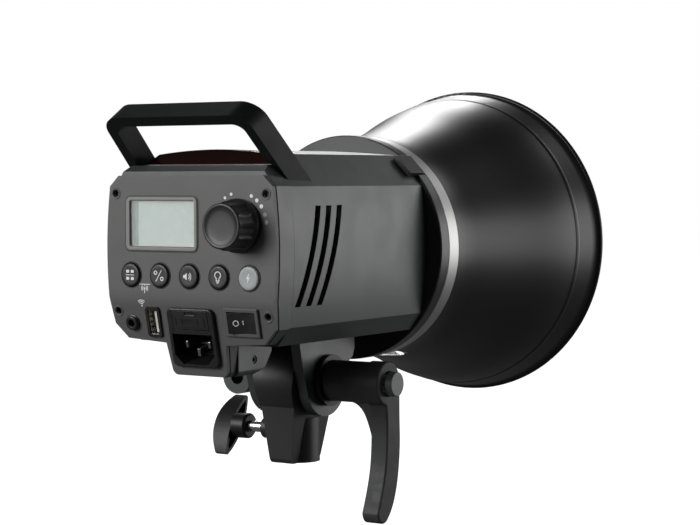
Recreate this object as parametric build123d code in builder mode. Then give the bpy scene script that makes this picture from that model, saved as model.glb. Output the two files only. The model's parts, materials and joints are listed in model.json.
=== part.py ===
from build123d import *
import os
from math import cos, sin, radians

# Monolight strobe: a tilting flash head with its bowl reflector, on a light-stand bracket.
# Millimetres. The origin is the mouth of the stand socket, +Z is up, the light points along -Y,
# and the control panel faces +Y.

# ---- driving dimensions ----
OPTICAL_Z = 114.0        # height of the optical axis
TILT_Z = 44.7            # height of the tilt axis, which runs along X through Y = 0
PANEL_Y = 96.0           # rear face of the control panel
SPLIT_Y = 81.0           # seam between rear bezel and main housing
HOUSING_FRONT_Y = -47.0
RING_REAR_Y = -56.5
RING_FRONT_Y = -68.0
RIM_Y = -191.4           # front edge of the reflector
ROOF_Z = 167.7           # crown of the housing's roof
WALL = 2.5               # moulded wall thickness
SEAM = 0.3               # gap at a visible joint between mouldings

PANEL_CREASE_Z = 92.5    # the panel bends here, and its lower part slopes inwards
PANEL_TILT = 12.5
SOCKET_R = 8.1           # bore for a 16 mm (5/8 inch) stand spigot
SOCKET_DEPTH = 34.0
UMBRELLA_R = 4.1         # bore for an 8 mm umbrella shaft
UMBRELLA_X = 27.5
UMBRELLA_Z = 45.5

ROOT_RADIUS = 23.8       # bracket head, about the tilt axis
LUG_IN = 13.15           # inner and outer faces of the keel's two lugs
LUG_OUT = 19.0
BRACKET_HALF = 13.0

RING_R = 62.4
FLANGE_R = 62.9
RIM_R = 92.2

BUTTON_PITCH = 18.45
BUTTON_Z = 104.0
BUTTON_R = 6.0
DIAL_X = -31.0
DIAL_Z = 129.8
STAND_SCREW_Z = 16.5

# ---- working planes ----
tilt_sin = sin(radians(PANEL_TILT))
tilt_cos = cos(radians(PANEL_TILT))
# Both panel planes are seen from behind: local x runs along -X and local y runs up.
UPPER = Plane(origin=(0, PANEL_Y, 0), x_dir=(-1, 0, 0), z_dir=(0, 1, 0))
LOWER = Plane(origin=(0, PANEL_Y, PANEL_CREASE_Z), x_dir=(-1, 0, 0), z_dir=(0, tilt_cos, -tilt_sin))

# Panel features, as (x, y) on their plane.
LCD_AT = (-17.45, 130.1)
SCREEN_AT = (-17.1, 130.15)
USB_AT = (-24.3, -12.5)
SYNC_AT = (-38.0, -13.3)
INLET_AT = (0.0, -19.6)
DRAWER_AT = (0.0, -10.2)
ROCKER_AT = (31.0, -10.75)
UPPER_SCREWS = [(-46.8, 145.3), (46.8, 145.3)]
LOWER_SCREWS = [(-46.8, -7.5), (46.8, -7.5)]


def facing_front(y):
    """Sketch plane at Y = y: local x is X, local y is Z, and extrude goes towards the light."""
    return Plane.XZ.offset(-y)


def across(x):
    """Sketch plane at X = x: local x is Y, local y is Z, and extrude goes along +X."""
    return Plane.YZ.offset(x)


def along_axis(y):
    """Sketch plane at Y = y, centred on the optical axis, with extrude towards the light."""
    return Plane(origin=(0, y, OPTICAL_Z), x_dir=(1, 0, 0), z_dir=(0, -1, 0))


def sector(outer, inner, angle):
    """Slice of a ring, centred on local x."""
    with BuildSketch() as slice_of_ring:
        Circle(outer)
        Circle(inner, mode=Mode.SUBTRACT)
        reach = 2 * outer
        edge = (reach * cos(radians(angle / 2)), reach * sin(radians(angle / 2)))
        with BuildLine():
            Polyline((0, 0), edge, (edge[0], -edge[1]), close=True)
        make_face(mode=Mode.INTERSECT)
    return slice_of_ring.sketch


def save(piece, name):
    piece.part.label = name
    export_step(piece.part, f"parts/{name}.step")
    print(f"{name}: {len(piece.part.solids())} solid(s), {piece.part.volume / 1000:.1f} cm3")


def housing_outline():
    """Body section: crowned roof, chamfers, bulged sides and small lower chamfers."""
    with BuildSketch() as outline:
        with BuildLine():
            ThreePointArc((0, ROOF_Z), (17.4, ROOF_Z - 0.6), (34.8, ROOF_Z - 2.4))
            Line((34.8, ROOF_Z - 2.4), (50.5, 149.0))
            ThreePointArc((50.5, 149.0), (53.0, 114.0), (50.0, 79.0))
            Polyline((50.0, 79.0), (43.0, 69.6), (0, 69.0))
            mirror(about=Plane.YZ)
        make_face()
    return outline.sketch


def bezel_outline(top=((0, 159.6), (42.6, 159.6), (45.25, 154.8))):
    """Panel-end section, with the bay for the mains inlet below."""
    with BuildSketch() as outline:
        with BuildLine():
            Polyline(*top, (51.0, 149.2))
            ThreePointArc((51.0, 149.2), (53.1, 113.0), (50.3, 78.6))
            Polyline((50.3, 78.6), (42.8, 70.9), (19.0, 69.4), (17.4, 56.5))
            ThreePointArc((17.4, 56.5), (16.2, 54.0), (13.6, 53.0))
            Line((13.6, 53.0), (0, 53.0))
            mirror(about=Plane.YZ)
        make_face()
    return outline.sketch


def panel_slab(outer, inner):
    """Side-on face of a bent slab that lies between two depths behind the panel face."""
    low = 45.0
    high = 170.0
    drop = (PANEL_CREASE_Z - low) * tilt_sin / tilt_cos
    with BuildSketch() as slab:
        with BuildLine():
            Polyline(
                (PANEL_Y - outer, high), (PANEL_Y - outer, PANEL_CREASE_Z), (PANEL_Y - outer - drop, low),
                (PANEL_Y - inner - drop, low), (PANEL_Y - inner, PANEL_CREASE_Z), (PANEL_Y - inner, high),
                close=True,
            )
        make_face()
    return slab.sketch


os.makedirs("parts", exist_ok=True)

# =====================================================================================
# Stand side: bracket, stand screw and wing knob
# =====================================================================================
BORE_R = 4.15            # bolt hole through the bracket head and lugs
SCREW_R = 3.0
BOSS_X = 21.0

with BuildPart() as stand_bracket:
    # Head and two fins, seen from the side.
    with BuildSketch(across(-BRACKET_HALF)):
        with Locations((0, TILT_Z)):
            Circle(ROOT_RADIUS)
        with BuildLine():
            Polyline((-20.0, 57.0), (20.4, 57.0), (19.2, 30.0), (16.6, 0), (-11.4, 0), (-19.2, 38.0), close=True)
        make_face()
    extrude(amount=2 * BRACKET_HALF)
    # The fins taper in width towards the bottom.
    with BuildSketch(Plane.XZ.offset(-40)):
        with BuildLine():
            Polyline(
                (0, 80), (BRACKET_HALF, 80), (BRACKET_HALF, 48), (10.2, 28), (7.5, 6), (6.6, 0), (0, 0)
            )
            mirror(about=Plane.YZ)
        make_face()
    extrude(amount=80, mode=Mode.INTERSECT)
    fillet(stand_bracket.edges().filter_by(Axis.X).sort_by(Axis.Z)[:2], radius=3)
    # Stand socket.
    with BuildSketch(Plane.XY):
        Circle(12.0)
    extrude(amount=24)
    # Boss for the stand screw.
    with BuildSketch(Plane.YZ.offset(9)):
        with Locations((0, STAND_SCREW_Z)):
            Circle(6.5)
    extrude(amount=BOSS_X - 9, taper=3)
    with BuildSketch(Plane.XY):
        Circle(SOCKET_R)
    extrude(amount=SOCKET_DEPTH, mode=Mode.SUBTRACT)
    with BuildSketch(Plane.YZ.offset(0)):
        with Locations((0, STAND_SCREW_Z)):
            Circle(4.5)
    extrude(amount=BOSS_X + 1, mode=Mode.SUBTRACT)
    with BuildSketch(across(-BRACKET_HALF - 1)):
        with Locations((0, TILT_Z)):
            Circle(BORE_R)
    extrude(amount=2 * BRACKET_HALF + 2, mode=Mode.SUBTRACT)
save(stand_bracket, "stand_bracket")

with BuildPart() as screw_insert:
    with BuildSketch(Plane.YZ.offset(10.5)):
        with Locations((0, STAND_SCREW_Z)):
            Circle(4.5)
            Circle(SCREW_R + 0.05, mode=Mode.SUBTRACT)
    extrude(amount=BOSS_X - 11)
save(screw_insert, "screw_insert")

with BuildPart() as screw_tip:
    with BuildSketch(Plane.YZ.offset(8.3)):
        with Locations((0, STAND_SCREW_Z)):
            Circle(2.9)
    extrude(amount=1.9)
save(screw_tip, "screw_tip")

with BuildPart() as stand_screw:
    with BuildSketch(Plane.YZ.offset(10.25)):
        with Locations((0, STAND_SCREW_Z)):
            Circle(SCREW_R)
    extrude(amount=27)
save(stand_screw, "stand_screw")

WING_TILT = 33.0         # the blade's length leans forward from upright at rest
WING_HALF = 18.0
WING_BACK_X = 40.5
wing_length = (0, -sin(radians(WING_TILT)), cos(radians(WING_TILT)))
wing_normal = (0, cos(radians(WING_TILT)), sin(radians(WING_TILT)))
WING = Plane(origin=(0, 0, STAND_SCREW_Z), x_dir=(1, 0, 0), z_dir=wing_normal)


def wing_lens(x, reach, half):
    """The blade's section across X: two arcs that meet at its ends."""
    with BuildSketch(Plane(origin=(x, 0, STAND_SCREW_Z), x_dir=wing_length, z_dir=(1, 0, 0))) as lens:
        with BuildLine():
            ThreePointArc((-reach, 0), (0, half), (reach, 0))
            ThreePointArc((reach, 0), (0, -half), (-reach, 0))
        make_face()
    return lens.sketch


with BuildPart() as wing_knob:
    # Blade: a bulged paddle, thick in the middle, hollow on its inner side.
    with BuildSketch(WING.offset(-8)):
        with BuildLine():
            Polyline((48.0, -WING_HALF), (WING_BACK_X, -WING_HALF), (WING_BACK_X, WING_HALF), (48.0, WING_HALF))
            ThreePointArc((48.0, WING_HALF), (52.0, 0), (48.0, -WING_HALF))
        make_face()
    extrude(amount=16)
    extrude(wing_lens(WING_BACK_X - 1, WING_HALF + 1.6, 5.4), amount=14, mode=Mode.INTERSECT)
    extrude(wing_lens(WING_BACK_X - 1, WING_HALF - 2.6, 3.7), amount=8, mode=Mode.SUBTRACT)
    # Hub collar along X.
    with BuildSketch(Plane.YZ.offset(31.5)):
        with Locations((0, STAND_SCREW_Z)):
            Circle(7.0)
    extrude(amount=9)
    chamfer(wing_knob.faces().sort_by(Axis.X)[0].edges(), length=1)
    with BuildSketch(Plane.YZ.offset(40)):
        with Locations((0, STAND_SCREW_Z)):
            Circle(5.2)
    extrude(amount=9.5)
    with BuildSketch(Plane.YZ.offset(31)):
        with Locations((0, STAND_SCREW_Z)):
            Circle(SCREW_R)
    extrude(amount=6.3, mode=Mode.SUBTRACT)
save(wing_knob, "wing_knob")

# =====================================================================================
# Tilting head: housing, keel, bezel and panel
# =====================================================================================
WINDOW_FRONT_Y = 66.0    # the sensor window fills the raised roof's rear edge
WINDOW_Z = 160.0
VENT_PITCH = 9.8
VENT_WIDTH = 4.5
VENT_CURVE = ((75.8, 89.2), (64.6, 116.0), (57.5, 139.2))
HANDLE_SCREWS = [(44.5, 68.0), (-44.5, 68.0)]
LATCH_PLANE = Plane(origin=(-41.4, -38.5, 158.45), x_dir=(0, -1, 0), z_dir=(-0.7205, 0, 0.6935))

with BuildPart() as main_housing:
    with BuildSketch(facing_front(SPLIT_Y - SEAM)):
        add(housing_outline())
    extrude(amount=SPLIT_Y - SEAM - HOUSING_FRONT_Y)
    # The crown runs out towards the light.
    with BuildSketch(across(-60)):
        with BuildLine():
            dip = ThreePointArc((2, ROOF_Z + 0.1), (-24, ROOF_Z - 0.6), (HOUSING_FRONT_Y, ROOF_Z - 2.3))
            Polyline(dip @ 1, (HOUSING_FRONT_Y - 1, ROOF_Z + 3), (2, ROOF_Z + 3), dip @ 0)
        make_face()
    extrude(amount=120, mode=Mode.SUBTRACT)
    with BuildSketch(facing_front(SPLIT_Y)):
        add(housing_outline())
        offset(amount=-WALL, mode=Mode.REPLACE)
    extrude(amount=SPLIT_Y - HOUSING_FRONT_Y - WALL, mode=Mode.SUBTRACT)
    # Opening in the front wall for the lamp leads and the air.
    with BuildSketch(along_axis(HOUSING_FRONT_Y + 10)):
        Circle(36)
    extrude(amount=20, mode=Mode.SUBTRACT)
    # Seat for the sensor window, and the bay above the mains inlet.
    with BuildSketch(across(-60)):
        with BuildLine():
            Polyline(
                (WINDOW_FRONT_Y, WINDOW_Z), (90, WINDOW_Z), (90, 175), (WINDOW_FRONT_Y, 175), close=True
            )
        make_face()
    extrude(amount=120, mode=Mode.SUBTRACT)
    with BuildSketch(Plane.XY.offset(60)):
        with Locations((0, 70)):
            Rectangle(34.5, 30)
    extrude(amount=15, mode=Mode.SUBTRACT)
    # Holes for the handle's screws.
    with BuildSketch(Plane.XY.offset(140)):
        with Locations(*HANDLE_SCREWS):
            Circle(2.0)
    extrude(amount=20, mode=Mode.SUBTRACT)
    # Slanted air slots, three in each side wall.
    for row in range(3):
        shift = -row * VENT_PITCH
        with BuildSketch(across(-60)):
            with BuildLine():
                front = [(y + shift - VENT_WIDTH / 2, z) for y, z in VENT_CURVE]
                rear = [(y + shift + VENT_WIDTH / 2, z) for y, z in VENT_CURVE]
                ThreePointArc(*front)
                Line(front[-1], rear[-1])
                ThreePointArc(*rear)
                Line(rear[0], front[0])
            make_face()
        extrude(amount=120, mode=Mode.SUBTRACT)
save(main_housing, "main_housing")

with BuildPart() as sensor_window:
    with BuildSketch(facing_front(SPLIT_Y - SEAM)):
        add(housing_outline())
    extrude(amount=SPLIT_Y - SEAM - WINDOW_FRONT_Y - 0.15)
    with BuildSketch(across(-60)):
        with BuildLine():
            Polyline((60, WINDOW_Z + 0.1), (80.4, WINDOW_Z + 0.1), (73.5, 167.7), (60, 167.7), close=True)
        make_face()
    extrude(amount=120, mode=Mode.INTERSECT)
    with BuildSketch(across(-30)):
        with BuildLine():
            Polyline((60, 155), (77.4, 155), (77.4, 161.0), (72.5, 165.6), (60, 165.6), close=True)
        make_face()
    extrude(amount=60, mode=Mode.SUBTRACT)
save(sensor_window, "sensor_window")

with BuildPart() as sensor_board:
    with BuildSketch(Plane.XY.offset(160.6)):
        with Locations((0, 70.5)):
            Rectangle(24, 7)
    extrude(amount=1.2)
    with BuildSketch(Plane.XY.offset(161.8)):
        with Locations((0, 71)):
            Circle(2.5)
    extrude(amount=2.6)
save(sensor_board, "sensor_board")

with BuildPart() as rear_bezel:
    with BuildSketch(facing_front(PANEL_Y)):
        add(bezel_outline())
    extrude(amount=PANEL_Y - SPLIT_Y)
    # The roof slopes down to the panel, and the rear edge follows the bent panel.
    with BuildSketch(across(-60)):
        add(panel_slab(2.8, 18.0))
    extrude(amount=120, mode=Mode.INTERSECT)
    with BuildSketch(across(-60)):
        with BuildLine():
            Polyline((88.0, 159.7), (97.0, 154.2), (97.0, 165), (88.0, 165), close=True)
        make_face()
    extrude(amount=120, mode=Mode.SUBTRACT)
    with BuildSketch(facing_front(PANEL_Y)):
        add(bezel_outline(top=((0, 155.6), (43.4, 155.6), (45.25, 154.0))))
        offset(amount=-WALL, mode=Mode.REPLACE)
    extrude(amount=PANEL_Y - SPLIT_Y + 1, mode=Mode.SUBTRACT)
save(rear_bezel, "rear_bezel")

with BuildPart() as control_panel:
    with BuildSketch(facing_front(PANEL_Y)):
        add(bezel_outline(top=((0, 154.8), (45.25, 154.8))))
        offset(amount=-0.35, mode=Mode.REPLACE)
    extrude(amount=20)
    with BuildSketch(across(-60)):
        add(panel_slab(0, 2.5))
    extrude(amount=120, mode=Mode.INTERSECT)
    # Upper openings: display, buttons and dial.
    with BuildSketch(UPPER.offset(1)):
        with Locations(LCD_AT):
            RectangleRounded(46.0, 28.0, 3.2)
        with Locations((0, BUTTON_Z)):
            with GridLocations(BUTTON_PITCH, 1, 5, 1):
                Circle(BUTTON_R + 0.5)
        with Locations((-DIAL_X, DIAL_Z)):
            Circle(5.2)
        with Locations(UPPER_SCREWS):
            Circle(2.8)
    extrude(amount=-6, mode=Mode.SUBTRACT)
    # Lower openings: USB, sync, mains inlet and rocker.
    with BuildSketch(LOWER.offset(1)):
        with Locations(USB_AT):
            RectangleRounded(9.0, 15.8, 1.2)
        with Locations(SYNC_AT):
            Circle(3.2)
        with Locations(INLET_AT):
            RectangleRounded(27.4, 29.2, 2.5)
        with Locations(ROCKER_AT):
            Rectangle(19.4, 13.4)
        with Locations(LOWER_SCREWS):
            Circle(2.8)
    extrude(amount=-6, mode=Mode.SUBTRACT)
save(control_panel, "control_panel")

with BuildPart() as panel_screws:
    for plane, places in ((UPPER, UPPER_SCREWS), (LOWER, LOWER_SCREWS)):
        with BuildSketch(plane.offset(-0.9)):
            with Locations(places):
                Circle(2.6)
        extrude(amount=-1.7)
        with BuildSketch(plane.offset(-0.9)):
            with Locations(places):
                RegularPolygon(1.4, 6)
        extrude(amount=-1.2, mode=Mode.SUBTRACT)
        with BuildSketch(plane.offset(-2.6)):
            with Locations(places):
                Circle(1.1)
        extrude(amount=-4)
save(panel_screws, "panel_screws")

KEEL_SCREW_AT = (67.0, 61.0)
NOTCH_FRONT_Y = 26.2
NOTCH_REAR_Y = 51.8
with BuildPart() as keel:
    with BuildSketch(across(-LUG_OUT)):
        with BuildLine():
            Polyline(
                (SPLIT_Y - SEAM, 68.9), (SPLIT_Y - SEAM, 53.2), (66.3, 53.2), (57.5, 56.8),
                (NOTCH_REAR_Y, 64.5), (NOTCH_REAR_Y, 67.0), (NOTCH_FRONT_Y, 67.0),
                (25.5, 63.5), (22.4, 50.5), (18.9, 40.0), (0, 36.0), (-18.5, 50.5), (-26.0, 56.0),
                (-27.6, 60.0), (-27.6, 68.9), close=True,
            )
        make_face()
        with Locations((0, TILT_Z)):
            Circle(19.5)
    extrude(amount=2 * LUG_OUT)
    fillet(keel.edges().filter_by(Axis.Y).group_by(Axis.Z)[0], radius=3)
    # Umbrella-shaft boss on the outer side of one lug.
    with BuildSketch(facing_front(18.0)):
        with Locations((UMBRELLA_X, UMBRELLA_Z)):
            Circle(9.3)
        with BuildLine():
            Polyline((18, 60), (24.0, 54.1), (18.5, 43.0), (18, 38), close=True)
        make_face()
    extrude(amount=34)
    # Slot between the lugs for the bracket head, and the bay for the mains inlet.
    with BuildSketch(across(-LUG_IN)):
        with BuildLine():
            Polyline(
                (-30, 20), (NOTCH_FRONT_Y, 20), (NOTCH_FRONT_Y, 68.9),
                (-24.6, 68.9), (-24.6, 66.4), (-30, 66.4), close=True,
            )
        make_face()
    extrude(amount=2 * LUG_IN, mode=Mode.SUBTRACT)
    with BuildSketch(Plane.XY.offset(55.4)):
        with Locations((0, 72)):
            Rectangle(33, 18)
    extrude(amount=20, mode=Mode.SUBTRACT)
    with BuildSketch(facing_front(20)):
        with Locations((UMBRELLA_X, UMBRELLA_Z)):
            Circle(UMBRELLA_R)
    extrude(amount=40, mode=Mode.SUBTRACT)
    with BuildSketch(across(-30)):
        with Locations((0, TILT_Z)):
            Circle(BORE_R)
    extrude(amount=30 + LUG_OUT, mode=Mode.SUBTRACT)
    # Hexagonal seat for the captive nut, and the countersinks of the side screws.
    with BuildSketch(across(14.6)):
        with Locations((0, TILT_Z)):
            RegularPolygon(7.5, 6)
    extrude(amount=5, mode=Mode.SUBTRACT)
    for side in (-1, 1):
        with BuildSketch(across(side * (LUG_OUT - 1.5) - 2.1)):
            with Locations(KEEL_SCREW_AT):
                Circle(2.2)
        extrude(amount=4.2, mode=Mode.SUBTRACT)
save(keel, "keel")

with BuildPart() as keel_screws:
    with BuildSketch(across(LUG_OUT - 3.1)):
        with Locations(KEEL_SCREW_AT):
            Circle(2.1)
    extrude(amount=2.6)
    with BuildSketch(across(LUG_OUT - 1.6)):
        with Locations(KEEL_SCREW_AT):
            RegularPolygon(1.1, 6)
    extrude(amount=2, mode=Mode.SUBTRACT)
    mirror(about=Plane.YZ)
save(keel_screws, "keel_screws")

# ---- carry handle: a band that leans back over the panel ----
HANDLE_LEAN = 43.0       # from the horizontal
HANDLE_SLOPE = 32.0      # of the band's upper face
HANDLE_BAND = 13.6
HANDLE_RISE = 58.7
lean = (cos(radians(HANDLE_LEAN)), sin(radians(HANDLE_LEAN)))
HANDLE_PLANE = Plane(origin=(0, 56.5, 150.5), x_dir=(1, 0, 0), z_dir=(0, -lean[1], lean[0]))
HANDLE_DEPTH = Vector(0, cos(radians(HANDLE_SLOPE)), -sin(radians(HANDLE_SLOPE)))

with BuildPart() as carry_handle:
    with BuildSketch(HANDLE_PLANE):
        with BuildLine():
            FilletPolyline((-49.2, -16), (-44.6, HANDLE_RISE), (44.6, HANDLE_RISE), (49.2, -16), radius=11)
            Line((49.2, -16), (43.6, -16))
            inner_rise = HANDLE_RISE - 6.4
            FilletPolyline((43.6, -16), (39.2, inner_rise), (-39.2, inner_rise), (-43.6, -16), radius=6)
            Line((-43.6, -16), (-49.2, -16))
        make_face()
    extrude(amount=HANDLE_BAND, dir=HANDLE_DEPTH)
    # The feet sit on the housing's chamfers and stop short of the bezel.
    with BuildSketch(facing_front(SPLIT_Y - SEAM)):
        add(housing_outline())
    extrude(amount=80, mode=Mode.SUBTRACT)
    with BuildSketch(facing_front(PANEL_Y + 1)):
        add(bezel_outline())
        offset(amount=0.4, mode=Mode.REPLACE)
    extrude(amount=16.4, mode=Mode.SUBTRACT)
    with BuildSketch(Plane.XY.offset(146)):
        Rectangle(200, 400)
    extrude(amount=-30, mode=Mode.SUBTRACT)
save(carry_handle, "carry_handle")

with BuildPart() as handle_screws:
    with BuildSketch(Plane.XY.offset(141)):
        with Locations(*HANDLE_SCREWS):
            Circle(1.9)
    extrude(amount=10.5)
    with BuildSketch(Plane.XY.offset(138.6)):
        with Locations(*HANDLE_SCREWS):
            Circle(3.4)
    extrude(amount=2.4)
save(handle_screws, "handle_screws")

# =====================================================================================
# Light end: flange, mount ring, latch, lamp plate, lamps and reflector
# =====================================================================================
FLANGE_REAR_Y = -47.3
LIP_IN_R = 48.6          # inner edge of the ring's bayonet lip
LIP_GAP_R = 51.2         # ring bore, and the lip's three gaps
LUG_ANGLE = 22.0
GAP_ANGLE = 27.0
BAYONET_TWIST = 26.0     # turn from locked to free

with BuildPart() as front_flange:
    with BuildSketch(along_axis(FLANGE_REAR_Y)):
        Circle(FLANGE_R)
        Circle(37.0, mode=Mode.SUBTRACT)
    extrude(amount=FLANGE_REAR_Y - RING_REAR_Y - SEAM)
    with BuildSketch(along_axis(FLANGE_REAR_Y - 3)):
        Circle(53.0)
    extrude(amount=10, mode=Mode.SUBTRACT)
    fillet(front_flange.edges().filter_by(GeomType.CIRCLE).sort_by(SortBy.RADIUS)[-2:], radius=0.8)
    # Flat notch for the release latch.
    with BuildSketch(LATCH_PLANE):
        with Locations((12, 0)):
            Rectangle(28, 14.6)
    extrude(amount=20, mode=Mode.SUBTRACT)
save(front_flange, "front_flange")

with BuildPart() as flange_screws:
    with BuildSketch(along_axis(FLANGE_REAR_Y - 3)):
        with PolarLocations(44, 4, start_angle=45):
            Circle(3.2)
    extrude(amount=2)
    with BuildSketch(along_axis(FLANGE_REAR_Y - 5)):
        with PolarLocations(44, 4, start_angle=45):
            RegularPolygon(1.5, 6)
    extrude(amount=-1.2, mode=Mode.SUBTRACT)
save(flange_screws, "flange_screws")

with BuildPart() as mount_ring:
    with BuildSketch(along_axis(RING_REAR_Y)):
        Circle(RING_R)
        Circle(LIP_GAP_R, mode=Mode.SUBTRACT)
    extrude(amount=RING_REAR_Y - RING_FRONT_Y)
    chamfer(mount_ring.edges().filter_by(GeomType.CIRCLE).sort_by(SortBy.RADIUS)[-2:], length=0.8)
    with BuildSketch(along_axis(RING_FRONT_Y + 2.2)):
        Circle(LIP_GAP_R)
        Circle(LIP_IN_R, mode=Mode.SUBTRACT)
        with PolarLocations(0, 3, start_angle=90 + BAYONET_TWIST):
            add(sector(LIP_GAP_R, LIP_IN_R - 1, GAP_ANGLE), mode=Mode.SUBTRACT)
    extrude(amount=2.2)
save(mount_ring, "mount_ring")

with BuildPart() as release_latch:
    with BuildSketch(LATCH_PLANE.offset(0.25)):
        with Locations((7.6, 0)):
            Rectangle(15.2, 13.4)
    extrude(amount=3.1)
    fillet(release_latch.faces().sort_by(Axis.Z)[-1].edges(), radius=0.9)
save(release_latch, "release_latch")

TUBE_Y = -73.0
TUBE_R = 25.0            # ring of the flash tube, about the optical axis
TUBE_LEG_ANGLE = 32.0    # the two legs stand this far each side of the lowest point
leg_turn = radians(TUBE_LEG_ANGLE)
TUBE_LEGS = [(side * TUBE_R * sin(leg_turn), -TUBE_R * cos(leg_turn)) for side in (-1, 1)]
LAMP_SOCKET_R = 12.0

with BuildPart() as lamp_plate:
    with BuildSketch(along_axis(FLANGE_REAR_Y - 3.2)):
        Circle(36.0)
    extrude(amount=1.6)
    with BuildSketch(along_axis(FLANGE_REAR_Y - 3.2)):
        with Locations(*TUBE_LEGS):
            Circle(5.4)
    extrude(amount=6)
    with BuildSketch(along_axis(FLANGE_REAR_Y)):
        with Locations(*TUBE_LEGS):
            Circle(3.3)
        Circle(LAMP_SOCKET_R + 0.2)
    extrude(amount=14, mode=Mode.SUBTRACT)
save(lamp_plate, "lamp_plate")

with BuildPart() as flash_tube:
    # The ring starts and ends a little past its two legs.
    start = radians(TUBE_LEG_ANGLE - 9)
    outward = (sin(start), 0, -cos(start))
    section = Plane(origin=(0, TUBE_Y, OPTICAL_Z), x_dir=outward, z_dir=(-cos(start), 0, -sin(start)))
    with BuildSketch(section):
        with Locations((TUBE_R, 0)):
            Circle(3.4)
    revolve(axis=Axis((0, TUBE_Y, OPTICAL_Z), (0, -1, 0)), revolution_arc=360 - 2 * (TUBE_LEG_ANGLE - 9))
    with BuildSketch(along_axis(FLANGE_REAR_Y - 2)):
        with Locations(*TUBE_LEGS):
            Circle(2.8)
    extrude(amount=FLANGE_REAR_Y - 2 - TUBE_Y)
save(flash_tube, "flash_tube")

with BuildPart() as lamp_socket:
    with BuildSketch(along_axis(FLANGE_REAR_Y + 4)):
        Circle(LAMP_SOCKET_R)
    extrude(amount=22)
    with BuildSketch(along_axis(FLANGE_REAR_Y)):
        Circle(9.4)
    extrude(amount=20, mode=Mode.SUBTRACT)
save(lamp_socket, "lamp_socket")

with BuildPart() as modelling_lamp:
    # Screw cap, neck and bulb, turned about the optical axis.
    with BuildSketch(Plane(origin=(0, 0, OPTICAL_Z), x_dir=(1, 0, 0), z_dir=(0, 0, 1))):
        with BuildLine():
            Polyline((0, -50), (9.0, -50), (9.0, -66), (10.5, -70), (10.5, -74))
            Spline((10.5, -74), (15.5, -92), (12.5, -107), (0, -113), tangents=((0.1, -1), (-1, 0)))
            Line((0, -113), (0, -50))
        make_face()
    revolve(axis=Axis((0, 0, OPTICAL_Z), (0, 1, 0)))
save(modelling_lamp, "modelling_lamp")

SHEET = 1.2              # spun aluminium
BASE_Y = RING_FRONT_Y - 0.4
BOWL = [(61.8, BASE_Y), (65.2, -91.0), (75.6, -128.0), (86.6, -167.0)]
inner_bowl = [(radius - SHEET, y - 0.3) for radius, y in BOWL]
inner_bowl[0] = (BOWL[0][0] - SHEET, BASE_Y - SHEET)
COLLAR_OUT_R = 48.1
COLLAR_IN_R = 46.4

with BuildPart() as reflector:
    # Spun bowl: flat base, domed wall, crease, straight skirt and rolled rim.
    with BuildSketch(Plane(origin=(0, 0, OPTICAL_Z), x_dir=(1, 0, 0), z_dir=(0, 0, 1))):
        with BuildLine():
            wall = Spline(*BOWL, tangents=((0, -1), (0.16, -1)))
            skirt = Line(BOWL[-1], (90.9, -189.0))
            lip = Line(skirt @ 1, (90.9 - SHEET, -189.0))
            inner_skirt = Line(lip @ 1, inner_bowl[-1])
            inner_wall = Spline(*reversed(inner_bowl), tangents=((-0.16, 1), (0, 1)))
            hole = COLLAR_OUT_R + 0.1
            Polyline(inner_wall @ 1, (hole, BASE_Y - SHEET), (hole, BASE_Y), wall @ 0)
        make_face()
        with Locations((RIM_R - 1.6, RIM_Y + 2.4)):
            Circle(1.6)
    revolve(axis=Axis((0, 0, OPTICAL_Z), (0, 1, 0)))
    # Cut-out for an umbrella shaft, low in the base.
    with BuildSketch(facing_front(RING_FRONT_Y)):
        with Locations((0, 56.4)):
            SlotOverall(36, 11)
    extrude(amount=34, mode=Mode.SUBTRACT)
save(reflector, "reflector")

with BuildPart() as reflector_collar:
    with BuildSketch(along_axis(RING_REAR_Y - 2.5)):
        Circle(COLLAR_OUT_R)
        Circle(COLLAR_IN_R, mode=Mode.SUBTRACT)
    extrude(amount=RING_REAR_Y - 2.5 - BASE_Y + SHEET)
    with BuildSketch(along_axis(BASE_Y - SHEET)):
        Circle(53.0)
        Circle(COLLAR_IN_R, mode=Mode.SUBTRACT)
    extrude(amount=1.2)
    with BuildSketch(along_axis(RING_REAR_Y - 5.5)):
        with PolarLocations(0, 3, start_angle=90):
            add(sector(LIP_GAP_R - 0.5, COLLAR_OUT_R - 0.5, LUG_ANGLE))
    extrude(amount=3.5)
save(reflector_collar, "reflector_collar")

with BuildPart() as collar_rivets:
    with BuildSketch(along_axis(BASE_Y - SHEET - 1.2)):
        with PolarLocations(50.6, 6, start_angle=30):
            Circle(1.5)
    extrude(amount=0.9)
    fillet(collar_rivets.edges().filter_by(GeomType.CIRCLE).group_by(Axis.Y)[0], radius=0.5)
save(collar_rivets, "collar_rivets")

# =====================================================================================
# Tilt clamp: captive nut, washers, stud with its ratchet core, lever and button
# =====================================================================================
STUD_R = 4.07
CORE_R = 7.2
LEVER_FACE_X = -58.0

with BuildPart() as clamp_nut:
    with BuildSketch(across(14.7)):
        with Locations((0, TILT_Z)):
            RegularPolygon(7.4, 6)
            Circle(STUD_R + 0.05, mode=Mode.SUBTRACT)
    extrude(amount=4.6)
save(clamp_nut, "clamp_nut")

with BuildPart() as friction_washers:
    for number in range(3):
        with BuildSketch(across(-20.3 - 1.25 * number)):
            with Locations((0, TILT_Z)):
                Circle(13.8 - 0.4 * (number % 2))
                Circle(STUD_R + 0.2, mode=Mode.SUBTRACT)
        extrude(amount=1.15)
save(friction_washers, "friction_washers")

with BuildPart() as clamp_stud:
    with BuildSketch(across(-46)):
        with Locations((0, TILT_Z)):
            Circle(STUD_R)
    extrude(amount=64.5)
    chamfer(clamp_stud.edges().filter_by(GeomType.CIRCLE).sort_by(Axis.X)[-1], length=0.8)
save(clamp_stud, "clamp_stud")

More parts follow.
